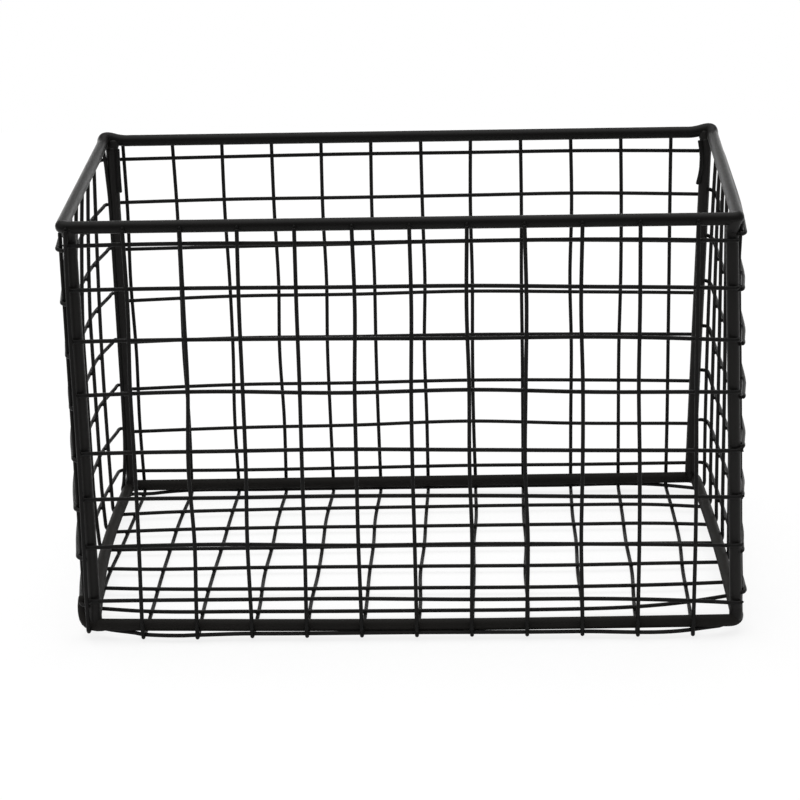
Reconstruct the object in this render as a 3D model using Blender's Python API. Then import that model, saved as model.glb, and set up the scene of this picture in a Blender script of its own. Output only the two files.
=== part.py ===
"""Wire wall rack tray: an open basket of welded mesh, folded up round a frame of
two bent rod rings and four corner posts.

Metres, +Z up. The front faces -Y. The basket stands on the undersides of its long
wires, and its origin is the middle of its box's underside.
"""

import math
import random

import bmesh
import bpy
from mathutils import Vector

# Frame, measured between the centre lines of its rods
FRAME_WIDTH = 0.2990
FRAME_DEPTH = 0.1791
FRAME_HEIGHT = 0.1895
ROD_RADIUS = 0.0029
BOTTOM_CORNER = 0.0045
BOTTOM_LEFT_BOW, BOTTOM_RIGHT_BOW = 0.0030, 0.0014
BOTTOM_FRONT_SAG = 0.0011
TOP_CORNER = 0.0034
CORNER_LIFT = 0.0019
LIFT_REACH = 0.0070
LEFT_OVERHANG = 0.0030
RIGHT_OVERHANG = 0.0020

# Mesh
WIRE_RADIUS = 0.0009
MESH_PITCH = 0.0254
LONG_WIRES = 12
CROSS_WIRES = 8
LEVEL_WIRES = 8
BACK_BEND = 0.0032
LONG_BOW = 0.0018
LONG_BOW_CENTRE = 0.0300
LONG_LEAN = 0.0010
MESH_SHIFT = -0.0071
LONG_TOP_DROP = 0.0005
CROSS_INSET = 0.0060
CROSS_BOW = 0.0070
CROSS_BOW_POWER = 6
BACK_CROSS_BOW = 0.0074
END_CROSS_BOW_POWER = 12
CROSS_SHIFT = 0.0018
WAVE = 0.0007

# Level wires: the first one's drop below the top ring, and the last one's rise above the
# bottom ring. The wires drift off their even pitch by these shares of it.
FRONT_DROP, FRONT_RISE = 0.0080, 0.0132
BACK_DROP, BACK_RISE = 0.0093, 0.0076
LEFT_DROP, RIGHT_DROP, SIDE_RISE = 0.0110, 0.0072, 0.0090
FRONT_TILT = 0.0014
FRONT_DRIFT = (0, -0.13, -0.14, -0.11, 0.04, -0.04, -0.07, 0)
BACK_DRIFT = (0, -0.08, -0.07, 0.06, -0.02, 0.03, 0, 0)
LEFT_SAG, RIGHT_SAG = 0.0025, 0.0008
POST_WRAP = math.radians(36)
HOOK_WRAP = math.radians(20)

# Short wire ends beside the tops of the two back posts
TIE_LENGTH = 0.0230
TIE_SPLAY = 0.0002
TIE_TURN = math.radians(36)
TIE_BOW = math.radians(24)

# The hand-built basket is a little out of square, and its ends belly outwards
BOTTOM_SKEW = 0.0077
TOP_SKEW = 0.0018
TOP_SPREAD = 0.0085
DEPTH_TAPER = 0.0108
REAR_PULL = 0.0045
REAR_STRETCH = 0.0023
LEFT_SLACK, RIGHT_SLACK = 0.0008, 0.0006
LEFT_BELLY, RIGHT_BELLY = 0.0047, 0.0025
LEFT_BELLY_START, RIGHT_BELLY_START = -0.0600, -0.0300
CORNER_PINCH = 0.0028
PINCH_POWER = 3
PINCH_FADE_POWER = 4

# Welded pieces are drawn this far apart
CLEARANCE = 0.0003

# Colour and roughness of each coat, and the angle from which an edge is drawn sharp
ROD_COAT = ((0.018, 0.017, 0.016), 0.48)
WIRE_COAT = ((0.015, 0.014, 0.014), 0.52)
SHARP_ANGLE = math.radians(70)

ROD_SIDES = 12
WIRE_SIDES = 6
BEND_STEPS = 4
RUN_STEPS = 5
HOOK_STEPS = 3
LIFT_STEPS = (1.0, 0.5)
BOW_STEPS = (0.75, 0.5, 0.0, -0.5, -0.75)

# Where each layer of wire lies, out from the centre line of the rod that it touches
FIRST_LAYER = ROD_RADIUS + CLEARANCE + WIRE_RADIUS
LAYER = 2 * WIRE_RADIUS + CLEARANCE
SECOND_LAYER = FIRST_LAYER + LAYER

# How far in front of the sagging bottom rod the level front cross wire has to lie to touch it
FRONT_LEDGE = math.sqrt(FIRST_LAYER**2 - (FIRST_LAYER - BOTTOM_FRONT_SAG) ** 2)

RING_X = FRAME_WIDTH / 2
RING_Y = FRAME_DEPTH / 2
POST_Y = RING_Y - LAYER
CROSS_Y = RING_Y - CROSS_INSET
CROSS_PITCH = 2 * CROSS_Y / (CROSS_WIRES - 1)


def post_place():
    """X of a post whose foot stands on the centre line of the ring's rounded corner."""
    inset = min(LAYER, BOTTOM_CORNER)
    across = math.sqrt(BOTTOM_CORNER**2 - (BOTTOM_CORNER - inset) ** 2)
    return RING_X - BOTTOM_CORNER + across


POST_X = post_place()
FOOT = SECOND_LAYER + WIRE_RADIUS


def rear_share(x, y, z):
    """1 at the back right corner of the bottom, falling to 0 at the other seven corners."""
    return (x / FRAME_WIDTH + 0.5) * (y / FRAME_DEPTH + 0.5) * (1 - z / FRAME_HEIGHT)


def settle(point):
    """Where the out-of-square basket has a point of the square design."""
    x, y, z = point
    rise = z / FRAME_HEIGHT
    back = y / FRAME_DEPTH
    skew = BOTTOM_SKEW * (1 - rise) + TOP_SKEW * rise
    spread = 1 + TOP_SPREAD / FRAME_WIDTH * back * rise
    taper = 1 + DEPTH_TAPER / FRAME_DEPTH * (0.5 - rise)
    pull = REAR_PULL * rear_share(x, y, z)
    return Vector((x * spread - skew * back, y * taper + pull, z + FOOT))


def settle_end(point):
    """The same for what lies at the two ends, where the bottom ring is also stretched."""
    return settle(point) + Vector((REAR_STRETCH * rear_share(*point), 0, 0))


def settle_depth(point):
    """The same for a wire that the skew of the frame passes by: only its depth moves."""
    x, y, z = point
    return Vector((x, settle(point).y, z + FOOT))


def stand(side, y, z):
    """How far the mesh of one end stands off the rings, at a depth and a height."""
    left = side < 0
    slack = LEFT_SLACK if left else RIGHT_SLACK
    belly = LEFT_BELLY if left else RIGHT_BELLY
    start = LEFT_BELLY_START if left else RIGHT_BELLY_START
    along = max(0.0, math.cos(math.pi * y / (2 * CROSS_Y)))
    up = max(0.0, math.sin(math.pi * (z - start) / (FRAME_HEIGHT - start)))
    middle = 1 - (2 * z / FRAME_HEIGHT - 1) ** PINCH_FADE_POWER
    pinch = CORNER_PINCH * (1 - along) ** PINCH_POWER if side * y < 0 else 0.0
    return slack + belly * along * up - pinch * middle


def cross_places():
    """Depths of the cross wires' legs, the inner ones a little towards the front."""
    places = [CROSS_PITCH * i - CROSS_Y for i in range(CROSS_WIRES)]
    return [places[0], *(y - CROSS_SHIFT for y in places[1:-1]), places[-1]]


def level_heights(drop, rise, drift=None, sag=0.0):
    """Heights of one wall's level wires, from the top."""
    last = LEVEL_WIRES - 1
    pitch = (FRAME_HEIGHT - drop - rise) / last
    steps = [i + (drift[i] if drift else 0.0) for i in range(LEVEL_WIRES)]
    sags = [sag * math.sin(math.pi * i / last) for i in range(LEVEL_WIRES)]
    return [FRAME_HEIGHT - drop - pitch * step - low for step, low in zip(steps, sags)]


def side_heights(side):
    drop, sag = (LEFT_DROP, LEFT_SAG) if side < 0 else (RIGHT_DROP, RIGHT_SAG)
    return level_heights(drop, SIDE_RISE, sag=sag)


def waves(seed, count):
    """Small sideways offsets along a hand-laid wire, none at its two ends."""
    chance = random.Random(seed)
    inner = [chance.uniform(-WAVE, WAVE) for _ in range(count - 2)]
    return [0.0, *inner, 0.0]


def spaced(start, end, steps):
    return [start + (end - start) * i / steps for i in range(steps + 1)]


def arc(centre, radius, start, end, steps):
    """Points of an arc in a plane, as pairs, with angles in radians."""
    angles = spaced(start, end, steps)
    return [(centre[0] + radius * math.cos(a), centre[1] + radius * math.sin(a)) for a in angles]


def sweep(name, points, across, radius, sides, closed=False):
    """A round bar along a path, as flat-sided prisms mitred at each point.

    Across is square to the plane that the path bends in. One flat faces straight out
    of each bend, at the bar's true radius, so crossing bars meet flat to flat.
    """
    mesh = bmesh.new()
    corner = radius / math.cos(math.pi / sides)
    count = len(points)
    rings = []
    for i, point in enumerate(points):
        before = points[i - 1] if i or closed else None
        after = points[(i + 1) % count] if i < count - 1 or closed else None
        come = (point - before).normalized() if before is not None else None
        go = (after - point).normalized() if after is not None else None
        along = come or go
        joint = ((come or go) + (go or come)).normalized()
        side = (across - along * across.dot(along)).normalized()
        out = side.cross(along)
        ring = []
        for k in range(sides):
            angle = 2 * math.pi * (k + 0.5) / sides
            spoke = corner * (math.cos(angle) * out + math.sin(angle) * side)
            slide = spoke.dot(joint) / along.dot(joint)
            ring.append(mesh.verts.new(point + spoke - along * slide))
        rings.append(ring)
    last = count if closed else count - 1
    for i in range(last):
        near, far = rings[i], rings[(i + 1) % count]
        for k in range(sides):
            m = (k + 1) % sides
            mesh.faces.new((near[k], near[m], far[m], far[k]))
    if not closed:
        mesh.faces.new(rings[0][::-1])
        mesh.faces.new(rings[-1])
    bmesh.ops.recalc_face_normals(mesh, faces=mesh.faces)
    data = bpy.data.meshes.new(name)
    mesh.to_mesh(data)
    mesh.free()
    data.shade_smooth()
    data.set_sharp_from_angle(angle=SHARP_ANGLE)
    bar = bpy.data.objects.new(name, data)
    bpy.context.collection.objects.link(bar)
    return bar


def powder_coat(name, colour, roughness):
    """Matt black powder coat, one material for each sub-part."""
    material = bpy.data.materials.new(name)
    material.use_nodes = True
    shader = material.node_tree.nodes["Principled BSDF"]
    shader.inputs["Base Color"].default_value = (*colour, 1)
    shader.inputs["Roughness"].default_value = roughness
    shader.inputs["Metallic"].default_value = 0.0
    return material


def coat_rod(bar):
    bar.data.materials.append(powder_coat(bar.name + "_coat", *ROD_COAT))


def coat_wire(bar):
    bar.data.materials.append(powder_coat(bar.name + "_coat", *WIRE_COAT))


def corner_lift(half, x, y, lift):
    """How far a ring rises at its two back corners, where the rod was bent."""
    reach = LIFT_REACH + TOP_CORNER
    if y < RING_Y - reach:
        return 0.0
    share = max(0.0, 1 - math.hypot(half - abs(x), RING_Y - y) / reach)
    return lift * share * share * (3 - 2 * share)


def top_half(side):
    """Half the width of the top ring, which reaches past the posts."""
    return RING_X + (LEFT_OVERHANG if side < 0 else RIGHT_OVERHANG)


def ring(name, z, halves, radius, bows=(0.0, 0.0), lift=0.0, sag=0.0):
    """A rod bent into a rounded rectangle. Its ends may bow outwards, its two back corners
    may be raised, and its front may sag."""
    points = []
    quarter = math.pi / 2
    for turn, (sx, sy) in enumerate(((1, 1), (-1, 1), (-1, -1), (1, -1))):
        half = halves[sx > 0]
        centre = (sx * (half - radius), sy * (RING_Y - radius))
        bend = arc(centre, radius, turn * quarter, (turn + 1) * quarter, BEND_STEPS)
        if lift and sy > 0:
            lead = [LIFT_REACH * share for share in LIFT_STEPS]
            first, final = bend[0], bend[-1]
            runs = ((0, -1), (-1, 0)) if turn == 0 else ((1, 0), (0, -1))
            enter = [(first[0] + runs[0][0] * d, first[1] + runs[0][1] * d) for d in lead]
            leave = [(final[0] + runs[1][0] * d, final[1] + runs[1][1] * d) for d in lead[::-1]]
            bend = [*enter, *bend, *leave]
        points += [settle_end((x, y, z + corner_lift(half, x, y, lift))) for x, y in bend]
        if bows[sx > 0] and sx != sy:
            straight = RING_Y - radius
            for share in (-sx * step for step in BOW_STEPS):
                out = half + bows[sx > 0] * math.cos(math.pi / 2 * share)
                points.append(settle_end((sx * out, share * straight, z)))
        if sag and sx < 0 and sy < 0:
            straight = min(halves) - radius
            for share in BOW_STEPS[::-1]:
                low = z - sag * math.cos(math.pi / 2 * share)
                points.append(settle_end((share * straight, -RING_Y, low)))
    coat_rod(sweep(name, points, Vector((0, 0, 1)), ROD_RADIUS, ROD_SIDES, closed=True))


def post(name, sx, sy):
    """A corner post, standing on the bottom ring with its top under the top ring."""
    seat = ROD_RADIUS + CLEARANCE
    low_edge = POST_X - ROD_RADIUS
    rise = corner_lift(top_half(sx), low_edge, RING_Y, CORNER_LIFT) if sy > 0 else 0.0
    heights = (seat, FRAME_HEIGHT + rise - seat)
    points = [settle((sx * POST_X, sy * POST_Y, z)) for z in heights]
    coat_rod(sweep(name, points, Vector((1, 0, 0)), ROD_RADIUS, ROD_SIDES))


def post_tie(name, sx, bow):
    """A short wire end beside a back post, bowed so that its middle lies in front of it."""
    top = FRAME_HEIGHT - ROD_RADIUS - CLEARANCE
    points = []
    for share in spaced(0, 1, BEND_STEPS):
        angle = TIE_TURN + bow * math.sin(math.pi * share)
        reach = FIRST_LAYER + TIE_SPLAY * (2 * share - 1) ** 2
        x = sx * (POST_X - reach * math.cos(angle))
        y = POST_Y - reach * math.sin(angle)
        points.append(settle((x, y, top - TIE_LENGTH * share)))
    coat_wire(sweep(name, points, Vector((0, 1, 0)), WIRE_RADIUS, WIRE_SIDES))


def long_wire(name, x, seed):
    """A wire up the front, under the bottom and up the back: the outer layer."""
    wall = RING_Y + FIRST_LAYER
    low = -SECOND_LAYER
    top = FRAME_HEIGHT - LONG_TOP_DROP
    half = math.pi / 2
    turns = ((-RING_Y - FRONT_LEDGE, -FIRST_LAYER), (wall - BACK_BEND, low + BACK_BEND))
    front = [(-wall, z) for z in spaced(top, FIRST_LAYER, RUN_STEPS)]
    front_bend = front[-1:] + arc(turns[0], LAYER, math.pi, 3 * half, BEND_STEPS)
    under = [(y, low) for y in spaced(turns[0][0], turns[1][0], RUN_STEPS)]
    back_bend = arc(turns[1], BACK_BEND, 3 * half, 4 * half, BEND_STEPS)
    back = [(wall, z) for z in spaced(turns[1][1], top, RUN_STEPS)]
    bow = LONG_BOW * (x - LONG_BOW_CENTRE) / RING_X
    most_lean = LONG_LEAN * (0.5 - x / FRAME_WIDTH)
    route = []
    for part, run in enumerate((front, under, back)):
        shares = spaced(0, 1, RUN_STEPS)
        lean = [most_lean * (share, 1 - share, 0)[part] for share in shares]
        bowed = [bow * math.sin(math.pi * share) if part == 1 else 0.0 for share in shares]
        offsets = [w + b - n for w, b, n in zip(waves(seed + part, len(run)), bowed, lean)]
        route += [(x + shift, y, z) for (y, z), shift in zip(run, offsets)]
        if part < 2:
            bend = (front_bend, back_bend)[part]
            route += [(x - (most_lean, 0)[part], y, z) for y, z in bend[1:-1]]
    points = [settle_depth(point) for point in route]
    coat_wire(sweep(name, points, Vector((1, 0, 0)), WIRE_RADIUS, WIRE_SIDES))


def cross_leg(side, y):
    """The part of a cross wire that stands up one end, from its top down to the bend."""
    heights = [FRAME_HEIGHT - ROD_RADIUS - 2 * CLEARANCE, *side_heights(side), 0.0]
    wall = RING_X + FIRST_LAYER
    return [(side * (wall + stand(side, y, z)), z) for z in heights]


def cross_wire(name, y, seed):
    """A wire up the left end, across the bottom and up the right end: the inner layer."""
    half = math.pi / 2
    ends = [side * (RING_X + stand(side, y, 0.0)) for side in (-1, 1)]
    left_bend = arc((ends[0], 0), FIRST_LAYER, math.pi, 3 * half, BEND_STEPS)
    right_bend = arc((ends[1], 0), FIRST_LAYER, 3 * half, 4 * half, BEND_STEPS)
    shares = [(1 - math.cos(turn)) / 2 for turn in spaced(0, math.pi, RUN_STEPS + 1)]
    outermost = abs(y) > CROSS_Y - CROSS_PITCH / 2
    shifts = [0.0] * len(shares) if outermost else waves(seed, len(shares))
    bow, power = CROSS_BOW * y / CROSS_Y, CROSS_BOW_POWER
    if outermost:
        bow = -CROSS_INSET - FRONT_LEDGE if y < 0 else BACK_CROSS_BOW
        power = END_CROSS_BOW_POWER
    middle = []
    for share, shift in zip(shares, shifts):
        x = ends[0] + (ends[1] - ends[0]) * share
        middle.append((x, y + bow * (1 - (2 * share - 1) ** power) + shift, -FIRST_LAYER))
    route = [(x, y, z) for x, z in cross_leg(-1, y) + left_bend[1:-1]]
    route += middle
    route += [(x, y, z) for x, z in right_bend[1:-1] + cross_leg(1, y)[::-1]]
    points = [settle_end(point) for point in route]
    coat_wire(sweep(name, points, Vector((0, 1, 0)), WIRE_RADIUS, WIRE_SIDES))


def wall_level(name, sy, z, seed):
    """A level wire of the front or back, its ends wrapped part of the way round the posts."""
    half = math.pi / 2
    steps = BEND_STEPS // 2
    lap = arc((POST_X, POST_Y), FIRST_LAYER, half - POST_WRAP, half, steps)
    run = spaced(POST_X, -POST_X, RUN_STEPS)
    offsets = waves(seed, len(run))
    route = [(x, sy * y, z) for x, y in lap[:-1]]
    route += [(x, sy * (POST_Y + FIRST_LAYER), z + shift) for x, shift in zip(run, offsets)]
    route += [(-x, sy * y, z) for x, y in lap[-2::-1]]
    tilt = FRONT_TILT if sy < 0 else 0.0
    points = [settle((x, y, z - tilt * (x / FRAME_WIDTH + 0.5))) for x, y, z in route]
    coat_wire(sweep(name, points, Vector((0, 0, sy)), WIRE_RADIUS, WIRE_SIDES))


def hook(wall):
    """Plan of a side wire's end, from its tip at the post to the outermost cross wire."""
    tip = Vector((POST_X, POST_Y)) + FIRST_LAYER * Vector((math.cos(HOOK_WRAP), math.sin(HOOK_WRAP)))
    knee = Vector((wall, POST_Y))
    root = Vector((wall, CROSS_Y))
    shares = spaced(0, 1, HOOK_STEPS)[:-1]
    return [(1 - t) ** 2 * tip + 2 * t * (1 - t) * knee + t * t * root for t in shares]


def side_level(name, sx, z):
    """A level wire of one end, its two ends hooked in towards the posts."""
    wall = RING_X + SECOND_LAYER
    places = cross_places()[::-1]
    walls = [wall + stand(sx, y, z) for y in places]
    route = [(sx * x, y, z) for x, y in hook(walls[0])]
    route += [(sx * x, y, z) for x, y in zip(walls, places)]
    route += [(sx * x, -y, z) for x, y in hook(walls[-1])[::-1]]
    points = [settle_end(point) for point in route]
    coat_wire(sweep(name, points, Vector((0, 0, -sx)), WIRE_RADIUS, WIRE_SIDES))


def centre_on_box(bars):
    """Puts the origin in the middle of the underside of the whole basket's box."""
    corners = [vertex.co for bar in bars for vertex in bar.data.vertices]
    for axis in (0, 1):
        values = [co[axis] for co in corners]
        middle = (min(values) + max(values)) / 2
        for co in corners:
            co[axis] -= middle


def build():
    for old in list(bpy.data.objects):
        bpy.data.objects.remove(old)
    bows = (BOTTOM_LEFT_BOW, BOTTOM_RIGHT_BOW)
    halves = (RING_X, RING_X)
    ring("bottom_ring", 0.0, halves, BOTTOM_CORNER, bows=bows, sag=BOTTOM_FRONT_SAG)
    ring("top_ring", FRAME_HEIGHT, (top_half(-1), top_half(1)), TOP_CORNER, lift=CORNER_LIFT)
    for sy, depth in ((-1, "front"), (1, "back")):
        for sx, side in ((-1, "left"), (1, "right")):
            post(f"{depth}_{side}_post", sx, sy)
    post_tie("back_left_tie", -1, 0.0)
    post_tie("back_right_tie", 1, TIE_BOW)
    for i in range(LONG_WIRES):
        x = MESH_SHIFT + MESH_PITCH * (i - (LONG_WIRES - 1) / 2)
        long_wire(f"long_wire_{i + 1:02d}", x, 100 + 3 * i)
    for i, y in enumerate(cross_places()):
        cross_wire(f"cross_wire_{i + 1}", y, 200 + i)
    front = level_heights(FRONT_DROP, FRONT_RISE, FRONT_DRIFT)
    back = level_heights(BACK_DROP, BACK_RISE, BACK_DRIFT)
    for part, (wall, sy, heights) in enumerate((("front", -1, front), ("back", 1, back))):
        for i, z in enumerate(heights):
            wall_level(f"{wall}_level_wire_{i + 1}", sy, z, 300 + 10 * part + i)
    for side, sx in (("left", -1), ("right", 1)):
        for i, z in enumerate(side_heights(sx)):
            side_level(f"{side}_level_wire_{i + 1}", sx, z)
    centre_on_box([bar for bar in bpy.data.objects if bar.type == "MESH"])


build()
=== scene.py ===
import math

import bmesh
import bpy
import numpy as np
from mathutils import Matrix, Vector, noise
from mathutils.kdtree import KDTree


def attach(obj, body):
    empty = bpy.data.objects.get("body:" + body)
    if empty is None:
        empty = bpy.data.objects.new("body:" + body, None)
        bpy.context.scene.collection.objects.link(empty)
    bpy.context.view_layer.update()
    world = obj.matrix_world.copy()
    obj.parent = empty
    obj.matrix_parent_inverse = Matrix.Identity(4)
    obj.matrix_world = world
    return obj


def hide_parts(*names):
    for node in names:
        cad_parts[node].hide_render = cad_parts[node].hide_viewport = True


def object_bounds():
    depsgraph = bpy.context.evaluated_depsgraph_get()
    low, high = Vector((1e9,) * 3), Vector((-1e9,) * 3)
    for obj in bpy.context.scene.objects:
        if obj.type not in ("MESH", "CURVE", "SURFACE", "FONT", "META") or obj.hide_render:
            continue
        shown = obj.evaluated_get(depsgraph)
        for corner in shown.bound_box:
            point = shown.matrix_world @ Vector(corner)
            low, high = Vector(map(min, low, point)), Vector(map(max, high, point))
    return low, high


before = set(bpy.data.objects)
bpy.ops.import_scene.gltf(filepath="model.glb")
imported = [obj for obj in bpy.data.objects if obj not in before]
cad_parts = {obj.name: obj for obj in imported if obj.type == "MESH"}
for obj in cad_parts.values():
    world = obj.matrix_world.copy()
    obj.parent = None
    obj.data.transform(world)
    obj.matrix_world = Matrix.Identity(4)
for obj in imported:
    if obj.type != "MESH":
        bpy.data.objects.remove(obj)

# How finely each bar is drawn round and along. Lengths are in metres everywhere
ROD_ROUND = 20
WIRE_ROUND = 12
THICK_BAR = 0.0015
ALONG_STEP = 0.0042
BEND_SPLITS = 3
LONG_RUN = 3
ROUNDED_WIRE = 1.05
COAT_RIPPLE = 0.018
COAT_RIPPLE_SCALE = 95.0
# A cut end: how far back along the bar, in radii, and the share of the radius there
CUT_END = ((0.0, 0.55), (0.10, 0.82), (0.34, 0.97), (0.75, 1.0))

# How a bar's flat-sided solid is read
JOIN = 1e-6
BAR_SIDES = (6, 12)
TURN_SLACK = 0.05
FOLDED = 0.5
MOST_RINGS = 99
SAME_RUN = 0.012

# Welds at the crossings
WELD_REACH = 0.0007
WELD_ROUND = 12
WELD_LEVELS = 7
WELD_FOOT = 1.75
WELD_WAIST = 0.82
WELD_FALL = 2.4
WELD_BITE = 0.75
WELD_CORNERS = 0.85
WELD_UNEVEN, WELD_LUMPS = 0.05, 900
SAME_CROSSING = 0.02
SIDE_BY_SIDE = 0.8
NEVER_MEET = 1e-18
UNDERSIDE = 0.009

# Collars round the ends of the posts
COLLAR_ROUND = 28
COLLAR_LEVELS = 9
COLLAR_RISE = 0.0034
COLLAR_SPREAD = 0.62
COLLAR_FALL = 2.6
COLLAR_SWELL = 0.07
COLLAR_TAPER = 0.05
COLLAR_UNEVEN, COLLAR_LUMPS = 0.025, 420

# Coat that fills the gap between a wire and a post
SEAM_SHARE = 0.84
SEAM_REACH = 0.0012
BRIDGE_REACH = 0.0030

# How deep welding presses one bar's line towards another, and how far out this fades
NUB_PRESS, NUB_REACH = 0.0014, 0.0075
ROD_PRESS, ROD_REACH = 0.0005, 0.0065
LEFT_PRESS = (0.0014, 0.0120)
RIGHT_PRESS = (0.0014, 0.0110)
REAR_PRESS = (0.0026, 0.0130)
HOOK_PRESS = (0.0015, 0.0200)
PRESS_FALL = 1.5
SUNK = 0.0007
SLIT = (-0.122, -0.101)
SLIT_PRESS = -0.0003

# The mesh is bent by hand: how far its wires lie off the straight, and where
HALF_WIDTH, HALF_DEPTH, HEIGHT = 0.148, 0.090, 0.190
WIDE, NARROW = 0.022, 0.009
FRONT_LIFT, FRONT_LEAN = 0.0012, 0.0006
FRONT_DIP, LEFT_DIP_SHARE = 0.0021, 0.3
BACK_LIFT, BACK_DIP_TOP, BACK_DIP_LOW = 0.0005, 0.0014, 0.0030
LEFT_SWELL = 0.0009
LAYER_STEP = 0.0020
LEFT_END_EASE, LEFT_MID_EASE, EASE_SPAN = 0.0008, 0.0014, 0.050
LEFT_SIDE_EASE, SIDE_MIDDLE, SIDE_SPAN = 0.0008, -0.055, 0.030
LEFT_TILT, TILT_HEIGHT, TILT_SPAN = 0.0050, 0.118, 0.060
TILT_EVEN, TILT_DEEP = 0.6, 0.4
RIGHT_HOLLOW, HOLLOW_MIDDLE, HOLLOW_SPAN = 0.0026, 0.025, 0.095
RIGHT_LOW_EASE, LOW_SHARE = 0.0026, 0.58
RIGHT_EASE, EASE_PLACE = 0.0005, 1.5
RIGHT_TOP_EASE, TOP_SPAN = 0.0007, 0.030
RIGHT_FLARE = 0.0002
RIGHT_END_LIFTS = {"5": 0.0014, "6": 0.0026, "8": 0.0042}
HOOK_RISE, HOOK_START, HOOK_END, HOOKED = 0.0038, 0.070, 0.088, "23456"
RIGHT_SAG, SAG_MIDDLE, SAG_SPAN = 0.0016, 0.045, 0.035
CORNER_TUCK, TUCK_HEIGHT, TUCK_SPAN = 0.0018, 0.008, 0.013
CROSS_END_LIFT, LIFT_START, LIFT_TOP = 0.0036, 0.085, 0.06
CORNER_LIFT, CORNER_BACK, CORNER_SPAN, CORNER_OUT = 0.0034, 0.0022, 0.016, 0.006
LOW_ROD_SHIFT, LOW_ROD_FADE, ROD_START, ROD_BLEND = 0.0011, 0.050, 0.137, 0.010

# The front left foot of the frame: the bend of the bottom rod beside the post
FOOT_BEND = (
    (-0.1494, -0.0868, 0.0190), (-0.1499, -0.0886, 0.0118), (-0.1484, -0.0912, 0.0078),
    (-0.1450, -0.0930, 0.0066), (-0.1390, -0.0939, 0.0068),
)
FOOT_RADIUS = 0.0028

# Each coat: its name, its deep and pale colours, its roughness, grain size and sheen
WIRE_BLACK = ((0.0036, 0.0034, 0.0033), (0.0062, 0.0059, 0.0056), 0.50, 0.0008, 0.13)
COATS = {
    "ring": ("ring_coat", (0.0040, 0.0038, 0.0035), (0.0068, 0.0064, 0.0060), 0.44, 0.0011, 0.10),
    # Painted light: the bottom ring has a lighter copy of the black coat, standing in for the light
    # its rods catch
    "low_ring": (
        "bottom_ring_coat", (0.0098, 0.0092, 0.0084), (0.0160, 0.0150, 0.0138), 0.62, 0.0012, 0.06),
    # Painted light: the posts have a lighter copy of the black coat, standing in for the light that
    # falls on them
    "post": ("post_coat", (0.0078, 0.0073, 0.0069), (0.0128, 0.0121, 0.0115), 0.46, 0.0011, 0.14),
    "long_wire": ("long_wire_coat", *WIRE_BLACK),
    # Painted light: the cross wires have a lighter copy of the black coat, standing in for floor
    # light on their undersides
    "cross_wire": (
        "cross_wire_coat", (0.0050, 0.0047, 0.0045), (0.0088, 0.0083, 0.0079), 0.50, 0.0008, 0.13),
    "level_wire": ("level_wire_coat", *WIRE_BLACK),
    "tie": ("tie_coat", *WIRE_BLACK),
    "weld": ("weld_coat", (0.0035, 0.0033, 0.0032), (0.0060, 0.0057, 0.0054), 0.50, 0.0007, 0.13),
}
CLOUD_SCALE = 17.0
PEEL_SHARE = 0.22
# Painted highlight: a lighter, speckled colour on the upward faces stands in for light from above;
# its speckle scale, start, gain, share shown and colour
HIGHLIGHT_SCALE, HIGHLIGHT_START, HIGHLIGHT_GAIN, HIGHLIGHT_SHOWN = 160.0, 0.35, 0.8, 0.30
HIGHLIGHT_COLOUR = (0.055, 0.052, 0.048)
BUMP_STRENGTH, BUMP_DEPTH = 0.35, 0.00006

# Floor, light and camera
SHADOW_FADE = 0.82
FLOOR_HALF, FLOOR_SQUARES, FLOOR_DROP = 1.0, 24, -0.0004
PAPER_DEEP, PAPER_PALE = (0.955, 0.955, 0.955), (0.985, 0.985, 0.985)
WHITE = (1, 1, 1, 1)
WORLD_LIGHT, WORLD_SEEN = 0.32, 0.68
FOCAL_PIXELS, PHOTO_WIDTH, SENSOR_WIDTH = 2509.9, 800, 36.0
CAMERA_PLACE = (0.0468390, -1.1630227, 0.4770398)
PITCH, YAW, ROLL = 0.3253928, 0.0430554, -0.0245466


# ---- Shapes ----

def side_count(mesh):
    """How many flat sides a bar has, from the angles between its faces."""
    angles = [edge.calc_face_angle(0.0) for edge in mesh.edges]
    counts = {
        sides: sum(abs(angle * sides / (2 * math.pi) - 1) < TURN_SLACK for angle in angles)
        for sides in BAR_SIDES
    }
    return max(counts, key=counts.get)


def unevenness(ring):
    """How far a ring's corners are from lying in one plane."""
    places = np.array([corner.co for corner in ring])
    return np.linalg.svd(places - places.mean(0), compute_uv=False)[-1]


def rings_onward(ring, before, stop, folded):
    """Rings of corners passed along a bar, from one ring on, to its end or to the ring stop."""
    passed = []
    while len(passed) < MOST_RINGS:
        around = {
            edge.other_vert(corner) for corner in ring for edge in corner.link_edges
            if edge in folded
        }
        ring, before = around - ring - before, ring
        if not ring or ring & stop:
            break
        while len(ring) > len(stop):
            ring = min((ring - {corner} for corner in ring), key=unevenness)
        passed.append(ring)
    return passed, bool(ring & stop)


def first_rings(mesh, folded):
    """The two rings of corners at the ends of a bar's longest run."""
    longest = max(folded, key=lambda edge: edge.calc_length())
    start, end = (corner.co for corner in longest.verts)
    middle, heading = (start + end) / 2, (end - start).normalized()
    behind, ahead = set(), set()
    for edge in folded:
        low, high = sorted(edge.verts, key=lambda corner: (corner.co - middle).dot(heading))
        below, above = ((corner.co - middle).dot(heading) for corner in (low, high))
        if below < 0 < above:
            cut = low.co.lerp(high.co, below / (below - above))
            if (cut - middle).length < SAME_RUN:
                behind.add(low)
                ahead.add(high)
    return behind, ahead


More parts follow.
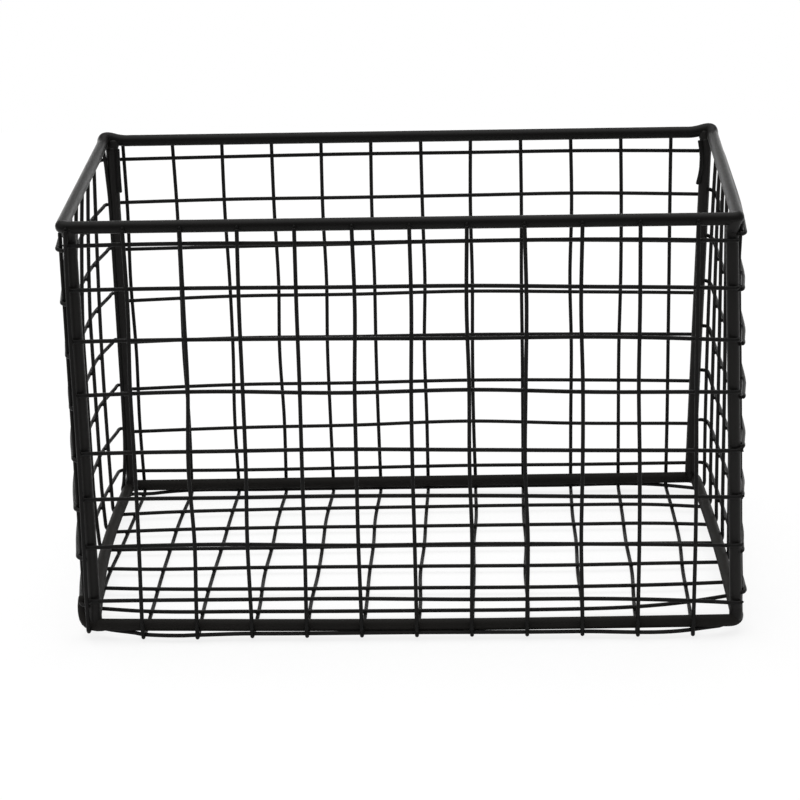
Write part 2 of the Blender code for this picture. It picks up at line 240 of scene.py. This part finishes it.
def centre_line(node):
    """The line that a bar of the frame follows, whether it is closed, and its radius."""
    mesh = bmesh.new()
    mesh.from_mesh(node.data)
    bmesh.ops.remove_doubles(mesh, verts=mesh.verts, dist=JOIN)
    sides = side_count(mesh)
    turn = 2 * math.pi / sides
    folded = {edge for edge in mesh.edges if edge.calc_face_angle(0.0) > FOLDED * turn}
    behind, ahead = first_rings(mesh, folded)
    onward, closed = rings_onward(ahead, behind, behind, folded)
    backward = [] if closed else rings_onward(behind, ahead, ahead, folded)[0]
    rings = [*backward[::-1], behind, ahead, *onward]
    line = [sum((corner.co for corner in ring), Vector()) / len(ring) for ring in rings]
    at = len(backward)
    axis = (line[at + 1] - line[at]).normalized()
    spoke = next(iter(ahead)).co - line[at + 1]
    corner = (spoke - axis * spoke.dot(axis)).length
    mesh.free()
    flat = corner * math.cos(math.pi / sides)
    return line, closed, flat * (ROUNDED_WIRE if sides == min(BAR_SIDES) else 1.0)


def with_leads(line, closed):
    """The line with a point added on each long run close to a bend, which keeps it straight."""
    count = len(line)
    runs = count if closed else count - 1
    lengths = [(line[(i + 1) % count] - line[i]).length for i in range(runs)]
    led = []
    for i, length in enumerate(lengths):
        start, end = line[i], line[(i + 1) % count]
        led.append(start)
        before = lengths[i - 1] if i or closed else length
        after = lengths[(i + 1) % runs] if i < runs - 1 or closed else length
        if length > LONG_RUN * before:
            led.append(start.lerp(end, before / length))
        if length > LONG_RUN * after:
            led.append(end.lerp(start, after / length))
    if not closed:
        led.append(line[-1])
    return led


def curved(line, closed):
    """A smooth curve through the line's points, split finely at bends and along runs."""
    line = with_leads(line, closed)
    count = len(line)
    runs = count if closed else count - 1
    gaps = [line[(i + 1) % count] - line[i] for i in range(runs)]

    def heading(i):
        into = gaps[i - 1] if i or closed else gaps[0]
        out = gaps[i % runs] if i < runs or closed else gaps[-1]
        a, b = into.length, out.length
        return (into / a * b + out / b * a) / (a + b)

    points = []
    for i, gap in enumerate(gaps):
        span = gap.length
        splits = max(BEND_SPLITS, math.ceil(span / ALONG_STEP))
        start, end = line[i], line[(i + 1) % count]
        leave, arrive = heading(i) * span, heading((i + 1) % count if closed else i + 1) * span
        for step in range(splits):
            t = step / splits
            points.append(
                start * (2 * t**3 - 3 * t**2 + 1)
                + leave * (t**3 - 2 * t**2 + t)
                + end * (3 * t**2 - 2 * t**3)
                + arrive * (t**3 - t**2)
            )
    if not closed:
        points.append(line[-1])
    return points


def trimmed_ends(points, radius):
    """Open bars end in a small rounded cut: pairs of a point and its share of the radius."""
    shared = []
    for order in (1, -1):
        run = points[::order]
        inward = (run[1] - run[0]).normalized()
        shared.append([(run[0] + inward * radius * back, share) for back, share in CUT_END])
    first, final = shared
    body = [
        (point, 1.0) for point in points[1:-1]
        if (point - points[0]).length > radius and (point - points[-1]).length > radius
    ]
    return [*first, *body, *final[::-1]]


def round_bar(name, points, closed, radius, around):
    """A round bar along a curve, its coat a little uneven, its open ends rounded."""
    marked = [(point, 1.0) for point in points] if closed else trimmed_ends(points, radius)
    count = len(marked)
    mesh = bmesh.new()
    rings = []
    side = None
    for i, (point, share) in enumerate(marked):
        before = marked[i - 1][0] if i or closed else point
        after = marked[(i + 1) % count][0] if i < count - 1 or closed else point
        along = (after - before).normalized()
        if side is None:
            side = along.orthogonal()
        side = (side - along * side.dot(along)).normalized()
        out = along.cross(side)
        ring = []
        for k in range(around):
            angle = 2 * math.pi * k / around
            spoke = math.cos(angle) * side + math.sin(angle) * out
            ripple = noise.noise((point + spoke * radius) * COAT_RIPPLE_SCALE)
            reach = radius * share * (1 - COAT_RIPPLE * (0.5 + 0.5 * ripple))
            ring.append(mesh.verts.new(point + spoke * reach))
        rings.append(ring)
    turn = 0
    if closed:
        turn = min(range(around), key=lambda k: (rings[0][k].co - rings[-1][0].co).length)
    for i in range(count if closed else count - 1):
        near, far = rings[i], rings[(i + 1) % count]
        shift = turn if i == count - 1 else 0
        for k in range(around):
            m = (k + 1) % around
            mesh.faces.new((near[k], near[m], far[(m + shift) % around], far[(k + shift) % around]))
    if not closed:
        for ring, order in ((rings[0], -1), (rings[-1], 1)):
            mesh.faces.new(ring[::order])
    return finished(name, mesh)


def finished(name, mesh):
    """The mesh, held inside the CAD's box, as a smooth piece that rides on the one body."""
    low, high = frame_size
    for corner in mesh.verts:
        corner.co = [min(max(v, a), b) for v, a, b in zip(corner.co, low, high)]
    bmesh.ops.recalc_face_normals(mesh, faces=mesh.faces)
    data = bpy.data.meshes.new(name)
    mesh.to_mesh(data)
    mesh.free()
    data.shade_smooth()
    piece = bpy.data.objects.new(name, data)
    bpy.context.scene.collection.objects.link(piece)
    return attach(piece, "root")


# ---- Welds ----

class Bar:
    """One round bar: its node's name, its curve and its radius."""

    def __init__(self, name):
        self.name = name
        line, self.closed, self.radius = centre_line(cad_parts[name])
        self.points = curved(line, self.closed)


def nearest_on_runs(first, i, second, j):
    """Closest points of the runs beside point i of one bar and point j of another."""
    best = None
    for p in (i - 1, i):
        for q in (j - 1, j):
            if p < 0 or q < 0 or p + 1 >= len(first.points) or q + 1 >= len(second.points):
                continue
            pair = closest_of_segments(
                first.points[p], first.points[p + 1], second.points[q], second.points[q + 1]
            )
            if best is None or (pair[0] - pair[1]).length < (best[0] - best[1]).length:
                best = (*pair, first.points[p + 1] - first.points[p],
                        second.points[q + 1] - second.points[q])
    return best


def closest_of_segments(a, b, c, d):
    """The closest points of the segments a to b and c to d."""
    u, v, w = b - a, d - c, a - c
    uu, uv, vv, uw, vw = u.dot(u), u.dot(v), v.dot(v), u.dot(w), v.dot(w)
    spread = uu * vv - uv * uv
    s = (uv * vw - vv * uw) / spread if spread > NEVER_MEET else 0.5
    s = min(1.0, max(0.0, s))
    t = min(1.0, max(0.0, (uv * s + vw) / vv))
    s = min(1.0, max(0.0, (uv * t - uw) / uu))
    return a + u * s, c + v * t


def crossings(bars):
    """Where two bars touch at an angle: both bars, the two points and the two directions."""
    places = [(b, i) for b, bar in enumerate(bars) for i in range(len(bar.points))]
    tree = KDTree(len(places))
    for index, (b, i) in enumerate(places):
        tree.insert(bars[b].points[i], index)
    tree.balance()
    thickest = max(bar.radius for bar in bars)
    closest = {}
    for b, bar in enumerate(bars):
        for i, point in enumerate(bar.points):
            reach = bar.radius + thickest + WELD_REACH + ALONG_STEP
            for _, index, gap in tree.find_range(point, reach):
                c, j = places[index]
                if c <= b:
                    continue
                limit = bar.radius + bars[c].radius + WELD_REACH + ALONG_STEP
                if gap > limit:
                    continue
                closest.setdefault((b, c), []).append((gap, i, j))
    found = []
    for (b, c), near in sorted(closest.items()):
        first, second = bars[b], bars[c]
        kept = []
        for gap, i, j in sorted(near):
            if any((first.points[i] - first.points[k]).length < SAME_CROSSING for k in kept):
                continue
            kept.append(i)
            pair = nearest_on_runs(first, i, second, j)
            if pair is None:
                continue
            a, d, along, across = pair
            touching = (a - d).length < first.radius + second.radius + WELD_REACH
            along, across = along.normalized(), across.normalized()
            both_rods = min(first.radius, second.radius) > THICK_BAR
            if touching and not both_rods and abs(along.dot(across)) < SIDE_BY_SIDE:
                found.append((first, second, a, d, along, across))
    return found


def add_weld(mesh, first, second, a, d, along, across):
    """The coat that fills the corners where two bars are welded: a waist between them."""
    thin = min(first.radius, second.radius)
    up = (d - a).normalized()
    start = a + up * max(0.0, first.radius - thin * WELD_BITE)
    end = d - up * max(0.0, second.radius - thin * WELD_BITE)
    along = (along - up * along.dot(up)).normalized()
    across = up.cross(along)
    rings = []
    for level in range(WELD_LEVELS):
        t = level / (WELD_LEVELS - 1)
        centre = start.lerp(end, t)
        long_way = thin * (WELD_WAIST + (WELD_FOOT - WELD_WAIST) * (1 - t) ** WELD_FALL)
        cross_way = thin * (WELD_WAIST + (WELD_FOOT - WELD_WAIST) * t**WELD_FALL)
        ring = []
        for k in range(WELD_ROUND):
            angle = 2 * math.pi * (k + 0.5) / WELD_ROUND
            cos, sin = math.cos(angle), math.sin(angle)
            uneven = 1 + WELD_UNEVEN * noise.noise(centre * WELD_LUMPS + Vector((cos, sin, t)))
            x = math.copysign(abs(cos) ** WELD_CORNERS, cos) * long_way * uneven
            y = math.copysign(abs(sin) ** WELD_CORNERS, sin) * cross_way * uneven
            ring.append(mesh.verts.new(centre + along * x + across * y))
        rings.append(ring)
    for near, far in zip(rings, rings[1:]):
        for k in range(WELD_ROUND):
            m = (k + 1) % WELD_ROUND
            mesh.faces.new((near[k], near[m], far[m], far[k]))
    mesh.faces.new(rings[0][::-1])
    mesh.faces.new(rings[-1])


def nearest_point(bar, place):
    """The point of a bar's curve nearest a place, and the bar's direction there."""
    points = bar.points
    best = min(range(len(points)), key=lambda i: (points[i] - place).length)
    spots = []
    for i in (max(best - 1, 0), min(best, len(points) - 2)):
        run = points[i + 1] - points[i]
        share = min(1.0, max(0.0, (place - points[i]).dot(run) / run.length_squared))
        spots.append((points[i] + run * share, run.normalized()))
    return min(spots, key=lambda spot: (spot[0] - place).length)


def add_collar(mesh, end, inward, rod):
    """The weld round the end of a post: it spreads along the rod that the post stands on."""
    foot, along = nearest_point(rod, end)
    up = inward
    along = (along - up * along.dot(up)).normalized()
    across = up.cross(along)
    top = end + up * COLLAR_RISE
    rings = []
    for level in range(COLLAR_LEVELS):
        t = level / (COLLAR_LEVELS - 1)
        centre = foot.lerp(top, t)
        long_way = rod.radius * (1 + COLLAR_SPREAD * (1 - t) ** COLLAR_FALL)
        cross_way = rod.radius * (1 + COLLAR_SWELL * math.sin(math.pi * t) - COLLAR_TAPER * t**3)
        long_way -= rod.radius * COLLAR_TAPER * t**3
        ring = []
        for k in range(COLLAR_ROUND):
            angle = 2 * math.pi * k / COLLAR_ROUND
            x, y = math.cos(angle) * long_way, math.sin(angle) * cross_way
            spot = centre + along * x + across * y
            uneven = 1 + COLLAR_UNEVEN * noise.noise(spot * COLLAR_LUMPS)
            ring.append(mesh.verts.new(centre + (spot - centre) * uneven))
        rings.append(ring)
    for near, far in zip(rings, rings[1:]):
        for k in range(COLLAR_ROUND):
            m = (k + 1) % COLLAR_ROUND
            mesh.faces.new((near[k], near[m], far[m], far[k]))
    mesh.faces.new(rings[0][::-1])
    mesh.faces.new(rings[-1])


def press(bar, under, depth, reach, touched=lambda point: True):
    """Press a wire's curve towards the bar it is welded to, as the weld does."""
    contact = bar.radius + under.radius
    for i, point in enumerate(bar.points):
        spot, _ = nearest_point(under, point)
        off = point - spot
        if off.length < reach and touched(point):
            fade = min(1.0, (reach - off.length) / (reach - contact))
            near = min(off.length, max(off.length - depth * fade**PRESS_FALL, contact - SUNK))
            bar.points[i] = spot + off.normalized() * near


def seam_points(wire, post, reach):
    """The line between a wire and the post beside it, where the coat fills the gap."""
    line = []
    for point in wire.points:
        spot, _ = nearest_point(post, point)
        off = point - spot
        gap = off.length - wire.radius - post.radius
        if gap < reach:
            line.append(spot + off.normalized() * (post.radius + gap / 2))
    return line


def hump(value, middle, width):
    """1 in the middle, fading to nothing a few widths away."""
    return math.exp(-(((value - middle) / width) ** 2))


def upright(z):
    """How much an end of the basket bulges or hollows at a height: nothing at the two rods."""
    return math.sin(math.pi * min(1.0, max(0.0, z / HEIGHT))) ** 0.5


def front_bent(x, y, z, tier):
    """Front level wires rise in the middle, and the lowest one's ends hang."""
    across = x / HALF_WIDTH
    if tier in ("2", "3"):
        z -= FRONT_LEAN * across
    if tier == "8":
        return x, y, z - FRONT_DIP * across**4 * (1.0 if x > 0 else LEFT_DIP_SHARE)
    return x, y, z + FRONT_LIFT * max(0.0, 1 - across**4)


def back_bent(x, y, z, tier):
    """Back level wires hang at both ends, the lower ones more."""
    if tier != "8":
        dip = BACK_DIP_LOW + (BACK_DIP_TOP - BACK_DIP_LOW) * z / HEIGHT
        z += BACK_LIFT - dip * min(1.0, (x / HALF_WIDTH) ** 2)
    return x, y, z


def swelled(x, y, z, inset):
    """A point of the left end, moved outward as far as the frame's own size leaves room."""
    room = x - frame_size[0].x - inset
    return x - max(0.0, min(room, LEFT_SWELL * max(0.0, 1 - (y / HALF_DEPTH) ** 2) * upright(z)))


def hollowed(x, y, z):
    """A point of the right end, drawn inward behind the front post."""
    hollow = max(0.0, 1 - ((y - HOLLOW_MIDDLE) / HOLLOW_SPAN) ** 2)
    return x - RIGHT_HOLLOW * hollow * upright(z)


def left_bent(x, y, z, radius):
    """Left level wires swell outward, lie close at the front post and tilt up to the back."""
    x = swelled(x, y, z, radius)
    ease = LEFT_END_EASE + LEFT_MID_EASE * hump(z, TILT_HEIGHT, EASE_SPAN)
    x += ease * hump(y, -HALF_DEPTH, WIDE)
    x += LEFT_SIDE_EASE * hump(y, SIDE_MIDDLE, SIDE_SPAN) * hump(z, TILT_HEIGHT, EASE_SPAN)
    tilt = TILT_EVEN + TILT_DEEP * (y / HALF_DEPTH)
    return x, y, z + LEFT_TILT * hump(z, TILT_HEIGHT, TILT_SPAN) * tilt


def right_bent(x, y, z, tier):
    """Right level wires hollow inward, with eased front ends and some raised back ends."""
    x = hollowed(x, y, z)
    low = max(0.0, 1 - z / (LOW_SHARE * HEIGHT))
    x -= RIGHT_LOW_EASE * low * hump(y, -HALF_DEPTH, 2 * WIDE)
    x += RIGHT_FLARE * hump(y, -HALF_DEPTH, NARROW)
    x -= RIGHT_TOP_EASE * hump(z, HEIGHT, TOP_SPAN) * hump(y, -HALF_DEPTH, WIDE)
    z += RIGHT_END_LIFTS.get(tier, 0.0) * hump(y, -HALF_DEPTH, WIDE)
    x -= RIGHT_EASE * hump(y, -HALF_DEPTH + EASE_PLACE * WIDE, WIDE)
    if tier in HOOKED:
        rise = max(0.0, (y - HOOK_START) / (HOOK_END - HOOK_START)) ** 2
        z += HOOK_RISE * min(1.0, rise) - RIGHT_SAG * hump(y, SAG_MIDDLE, SAG_SPAN)
    return x, y, z


def cross_bent(x, y, z, tier, radius):
    """Cross wires follow both ends, and the two foremost are bent at the right corner."""
    if x < -HALF_WIDTH:
        x = swelled(x, y, z, radius + LAYER_STEP)
    elif x > HALF_WIDTH:
        x = hollowed(x, y, z)
    if tier == "1" and x > HALF_WIDTH:
        x -= CORNER_TUCK * hump(z, TUCK_HEIGHT, TUCK_SPAN)
    if tier == "2" and x > LIFT_START:
        share = ((x - LIFT_START) / (HALF_WIDTH - LIFT_START)) ** 2
        z += CROSS_END_LIFT * share * max(0.0, 1 - z / LIFT_TOP)
    return x, y, z


def corner_bent(x, y, z):
    """The first long wire is lifted and set back where it passes under the front left corner."""
    if y < 0:
        share = hump(z, 0.0, CORNER_SPAN) * hump(y, -HALF_DEPTH - CORNER_OUT, CORNER_SPAN)
        y += CORNER_BACK * share
        z += CORNER_LIFT * share
    return x, y, z


def low_rod_bent(x, y, z):
    """The left rod of the bottom ring bows outward behind its front corner."""
    share = min(1.0, max(0.0, (-x - ROD_START) / ROD_BLEND))
    return x - LOW_ROD_SHIFT * share * (1 - hump(y, -HALF_DEPTH, LOW_ROD_FADE)), y, z


def hand_bent(bar):
    """The bar's line with the small waves of a mesh that was bent by hand."""
    kind, tier = bar.name.rsplit("_", 1)
    if kind == "front_level_wire":
        moved = [front_bent(*point, tier) for point in bar.points]
    elif kind == "back_level_wire":
        moved = [back_bent(*point, tier) for point in bar.points]
    elif kind == "left_level_wire":
        moved = [left_bent(*point, bar.radius) for point in bar.points]
    elif kind == "right_level_wire":
        moved = [right_bent(*point, tier) for point in bar.points]
    elif kind == "cross_wire":
        moved = [cross_bent(*point, tier, bar.radius) for point in bar.points]
    elif bar.name == "long_wire_01":
        moved = [corner_bent(*point) for point in bar.points]
    elif bar.name == "bottom_ring":
        moved = [low_rod_bent(*point) for point in bar.points]
    else:
        moved = bar.points
    return [Vector(point) for point in moved]


def side_of(point, low, high):
    """The name of the basket's side that a point lies on."""
    if point.z < low.z + UNDERSIDE:
        return "bottom"
    reaches = {
        "left": point.x - low.x, "right": high.x - point.x,
        "front": point.y - low.y, "back": high.y - point.y,
    }
    return min(reaches, key=reaches.get)


# ---- Coat ----

class Value:
    """A socket of a coat's nodes, with plain arithmetic."""

    def __init__(self, tree, socket):
        self.tree, self.socket = tree, socket

    def node(self, kind, sockets, output=0, **settings):
        made = self.tree.nodes.new(kind)
        for key, setting in settings.items():
            setattr(made, key, setting)
        for key, given in sockets.items():
            if isinstance(given, Value):
                self.tree.links.new(given.socket, made.inputs[key])
            else:
                made.inputs[key].default_value = given
        return Value(self.tree, made.outputs[output])

    def maths(self, operation, first, second):
        return self.node("ShaderNodeMath", {0: first, 1: second}, operation=operation)

    def __add__(self, other):
        return self.maths("ADD", self, other)

    __radd__ = __add__

    def __sub__(self, other):
        return self.maths("SUBTRACT", self, other)

    def __rsub__(self, other):
        return self.maths("SUBTRACT", other, self)

    def __mul__(self, other):
        return self.maths("MULTIPLY", self, other)

    __rmul__ = __mul__

    def __pow__(self, other):
        return self.maths("POWER", self, other)

    def held(self, low, high):
        return self.maths("MINIMUM", self.maths("MAXIMUM", self, low), high)

    def speckle(self, scale, detail, roughness=0.5):
        sockets = {"Vector": self, "Scale": scale, "Detail": detail, "Roughness": roughness}
        return self.node("ShaderNodeTexNoise", sockets)

    def between(self, low, high):
        """The colour that share self picks from low to high."""
        sockets = {0: self, 6: low, 7: high}
        for index in (6, 7):
            if not isinstance(sockets[index], Value):
                sockets[index] = (*sockets[index], 1)
        return self.node("ShaderNodeMix", sockets, 2, data_type="RGBA")


def powder_coat(name, deep, pale, roughness, grain_size, sheen):
    """Matt black powder coat: a fine pebbled skin, a cloudy tone and a speckled painted highlight
    on the upward faces.
    """
    material = bpy.data.materials.new(name)
    material.use_nodes = True
    tree = material.node_tree
    shader = tree.nodes["Principled BSDF"]
    start = Value(tree, None)
    place = start.node("ShaderNodeTexCoord", {}, output="Object")
    facing = start.node("ShaderNodeNewGeometry", {}, output="Normal")
    upward = start.node("ShaderNodeSeparateXYZ", {0: facing}, output="Z").held(0.0, 1.0)
    cloud = place.speckle(CLOUD_SCALE, 3.0)
    grain = place.speckle(1 / grain_size, 3.0, 0.6)
    peel = place.speckle(PEEL_SHARE / grain_size, 2.0)
    highlight_specks = place.speckle(HIGHLIGHT_SCALE, 4.0, 0.7)
    # Painted highlight: the upward faces get the lighter speckled colour and a little more
    # roughness, for light falling from above
    top_highlight = (upward**3 * (highlight_specks - HIGHLIGHT_START) * HIGHLIGHT_GAIN).held(0.0, 1.0)
    tone = (cloud * 1.3 - 0.15 + (grain - 0.5) * 0.5).held(0.0, 1.0)
    body = tone.between(deep, pale)
    coat = (top_highlight * HIGHLIGHT_SHOWN).between(body, HIGHLIGHT_COLOUR)
    gloss = (grain - 0.5) * 0.22 + (cloud - 0.5) * 0.10 + top_highlight * 0.18 + roughness
    height = grain * 0.65 + peel * 0.9
    sockets = {"Height": height, "Strength": BUMP_STRENGTH, "Distance": BUMP_DEPTH}
    bumped = start.node("ShaderNodeBump", sockets)
    for key, given in (("Base Color", coat), ("Roughness", gloss), ("Normal", bumped)):
        tree.links.new(given.socket, shader.inputs[key])
    shader.inputs["Metallic"].default_value = 0.0
    shader.inputs["Specular IOR Level"].default_value = sheen
    return material


# ---- The basket ----

def node_kind(name):
    for kind in ("ring", "post", "tie", "long_wire", "cross_wire"):
        if kind in name:
            return kind
    return "level_wire"


def shape_bars(bars, named, foremost, rearmost):
    """Press the bars together where they are welded, and bend the wires as by hand."""
    bottom = named["bottom_ring"]
    press(foremost, bottom, ROD_PRESS, ROD_REACH, lambda point: not SLIT[0] < point.x < SLIT[1])
    press(foremost, bottom, SLIT_PRESS, ROD_REACH, lambda point: SLIT[0] < point.x < SLIT[1])
    press(foremost, named["front_left_post"], *LEFT_PRESS)
    press(foremost, named["front_right_post"], *RIGHT_PRESS)
    press(rearmost, named["back_left_post"], *REAR_PRESS)
    for bar in bars:
        if node_kind(bar.name) == "long_wire":
            press(bar, foremost, NUB_PRESS, NUB_REACH, lambda point: point.y < 0)
        bar.points = hand_bent(bar)
        if bar.name.startswith("right_level"):
            press(bar, named["back_right_post"], *HOOK_PRESS)


def draw_bars(bars, coats, bottom):
    """A round bar in place of each flat-sided one."""
    for bar in bars:
        around = ROD_ROUND if bar.radius > THICK_BAR else WIRE_ROUND
        piece = round_bar(bar.name + "_round", bar.points, bar.closed, bar.radius, around)
        # The bottom ring takes its lighter copy of the coat, which is painted light
        piece.data.materials.append(coats["low_ring" if bar is bottom else node_kind(bar.name)])
        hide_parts(bar.name)


def draw_fills(bars, named, coats, foremost):
    """The coat between the ties and their posts, and beside the front right post."""
    for bar in bars:
        if node_kind(bar.name) == "tie":
            line = seam_points(bar, named[bar.name.replace("tie", "post")], SEAM_REACH)
            seam = round_bar(bar.name + "_seam", line, False, bar.radius * SEAM_SHARE, WIRE_ROUND)
            seam.data.materials.append(coats["weld"])
    beside = (foremost, named["right_level_wire_1"], named["right_level_wire_2"])
    for place, wire in enumerate(beside, 1):
        name = f"front_right_bridge_{place}"
        line = seam_points(wire, named["front_right_post"], BRIDGE_REACH)
        bridge = round_bar(name, line, False, wire.radius * SEAM_SHARE, WIRE_ROUND)
        bridge.data.materials.append(coats["weld"])


def draw_foot(coats):
    """The bend of the bottom rod beside the front left post."""
    line = curved([Vector(place) for place in FOOT_BEND], False)
    foot = round_bar("front_left_foot", line, False, FOOT_RADIUS, ROD_ROUND)
    # The foot takes the bottom ring's lighter coat, which is painted light
    foot.data.materials.append(coats["low_ring"])


def draw_collars(bars, coats):
    """A collar of weld where each post meets the two rings."""
    rings = [bar for bar in bars if node_kind(bar.name) == "ring"]
    collars = bmesh.new()
    for bar in bars:
        if node_kind(bar.name) == "post":
            for end, after in ((bar.points[0], bar.points[1]), (bar.points[-1], bar.points[-2])):
                rod = min(rings, key=lambda ring: (nearest_point(ring, end)[0] - end).length)
                add_collar(collars, end, (after - end).normalized(), rod)
    piece = finished("post_collars", collars)
    # The collars take the posts' lighter coat, which is painted light
    piece.data.materials.append(coats["post"])


def draw_welds(bars, coats):
    """A weld at each crossing, gathered into one piece for each side of the basket."""
    low, high = frame_size
    welds = {}
    for crossing in crossings(bars):
        welds.setdefault(side_of(crossing[2], low, high), []).append(crossing)
    for side, found in sorted(welds.items()):
        mesh = bmesh.new()
        for crossing in found:
            add_weld(mesh, *crossing)
        piece = finished(side + "_welds", mesh)
        piece.data.materials.append(coats["weld"])


def draw_basket():
    coats = {kind: powder_coat(*coat) for kind, coat in COATS.items()}
    bars = [Bar(name) for name in sorted(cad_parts)]
    named = {bar.name: bar for bar in bars}
    across = [bar for bar in bars if node_kind(bar.name) == "cross_wire"]
    foremost = min(across, key=lambda bar: bar.points[len(bar.points) // 2].y)
    rearmost = max(across, key=lambda bar: bar.points[len(bar.points) // 2].y)
    shape_bars(bars, named, foremost, rearmost)
    draw_bars(bars, coats, named["bottom_ring"])
    draw_fills(bars, named, coats, foremost)
    draw_foot(coats)
    draw_collars(bars, coats)
    draw_welds(bars, coats)


# ---- Floor, light and camera ----

def floor_finish():
    material = bpy.data.materials.new("paper_floor")
    material.use_nodes = True
    tree = material.node_tree
    start = Value(tree, None)
    place = start.node("ShaderNodeTexCoord", {}, output="Object")
    tone = (place.speckle(3.0, 2.0) * 0.5 + place.speckle(900.0, 2.0) * 0.5).held(0.0, 1.0)
    paper = tone.between(PAPER_DEEP, PAPER_PALE)
    shader = tree.nodes["Principled BSDF"]
    tree.links.new(paper.socket, shader.inputs["Base Color"])
    shader.inputs["Roughness"].default_value = 0.9
    shader.inputs["Specular IOR Level"].default_value = 0.1
    glow = start.node("ShaderNodeEmission", {"Color": WHITE})
    seen = start.node("ShaderNodeLightPath", {}, output="Is Camera Ray") * SHADOW_FADE
    lit = Value(tree, shader.outputs[0])
    blend = start.node("ShaderNodeMixShader", {0: seen, 1: lit, 2: glow})
    tree.links.new(blend.socket, tree.nodes["Material Output"].inputs["Surface"])
    return material


def draw_floor():
    mesh = bmesh.new()
    bmesh.ops.create_grid(
        mesh, x_segments=FLOOR_SQUARES, y_segments=FLOOR_SQUARES, size=FLOOR_HALF)
    data = bpy.data.meshes.new("floor")
    mesh.to_mesh(data)
    mesh.free()
    floor = bpy.data.objects.new("floor", data)
    floor.location.z = FLOOR_DROP
    bpy.context.scene.collection.objects.link(floor)
    data.materials.append(floor_finish())


def soft_box(name, place, aim, size, power):
    light = bpy.data.lights.new(name, "AREA")
    light.shape = "RECTANGLE"
    light.size, light.size_y = size
    light.energy = power
    lamp = bpy.data.objects.new(name, light)
    lamp.location = place
    lamp.rotation_euler = (Vector(aim) - Vector(place)).to_track_quat("-Z", "Y").to_euler()
    bpy.context.scene.collection.objects.link(lamp)


def light_studio():
    world = bpy.data.worlds.new("studio")
    world.use_nodes = True
    tree = world.node_tree
    shade = tree.nodes["Background"]
    start = Value(tree, None)
    seen = start.node("ShaderNodeLightPath", {}, output="Is Camera Ray")
    strength = seen * WORLD_SEEN + WORLD_LIGHT
    tree.links.new(strength.socket, shade.inputs["Strength"])
    shade.inputs["Color"].default_value = WHITE
    bpy.context.scene.world = world
    soft_box("overhead_box", (-0.05, 0.20, 1.6), (0, 0.1, 0), (2.4, 2.2), 34)
    soft_box("back_box", (0, 1.7, 0.25), (0, 0, 0.15), (3.0, 0.5), 12)
    soft_box("left_box", (-1.5, -0.4, 0.9), (0, 0, 0.1), (0.9, 0.9), 3)


def place_camera():
    data = bpy.data.cameras.new("photo_camera")
    data.sensor_width = SENSOR_WIDTH
    data.lens = SENSOR_WIDTH * FOCAL_PIXELS / PHOTO_WIDTH
    camera = bpy.data.objects.new("photo_camera", data)
    cy, sy = math.cos(YAW), math.sin(YAW)
    cp, sp = math.cos(PITCH), math.sin(PITCH)
    cr, sr = math.cos(ROLL), math.sin(ROLL)
    turn = Matrix(((cy, sy, 0), (-sy, cy, 0), (0, 0, 1)))
    tip = Matrix(((1, 0, 0), (0, cp, -sp), (0, sp, cp)))
    lean = Matrix(((cr, 0, sr), (0, 1, 0), (-sr, 0, cr)))
    right, ahead, up = lean @ tip @ turn
    facing = Matrix((right, up, -ahead)).transposed().to_4x4()
    camera.matrix_world = Matrix.Translation(CAMERA_PLACE) @ facing
    bpy.context.scene.collection.objects.link(camera)
    bpy.context.scene.camera = camera


frame_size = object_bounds()
draw_basket()
draw_floor()
light_studio()
place_camera()
bpy.context.scene.view_settings.view_transform = "Standard"
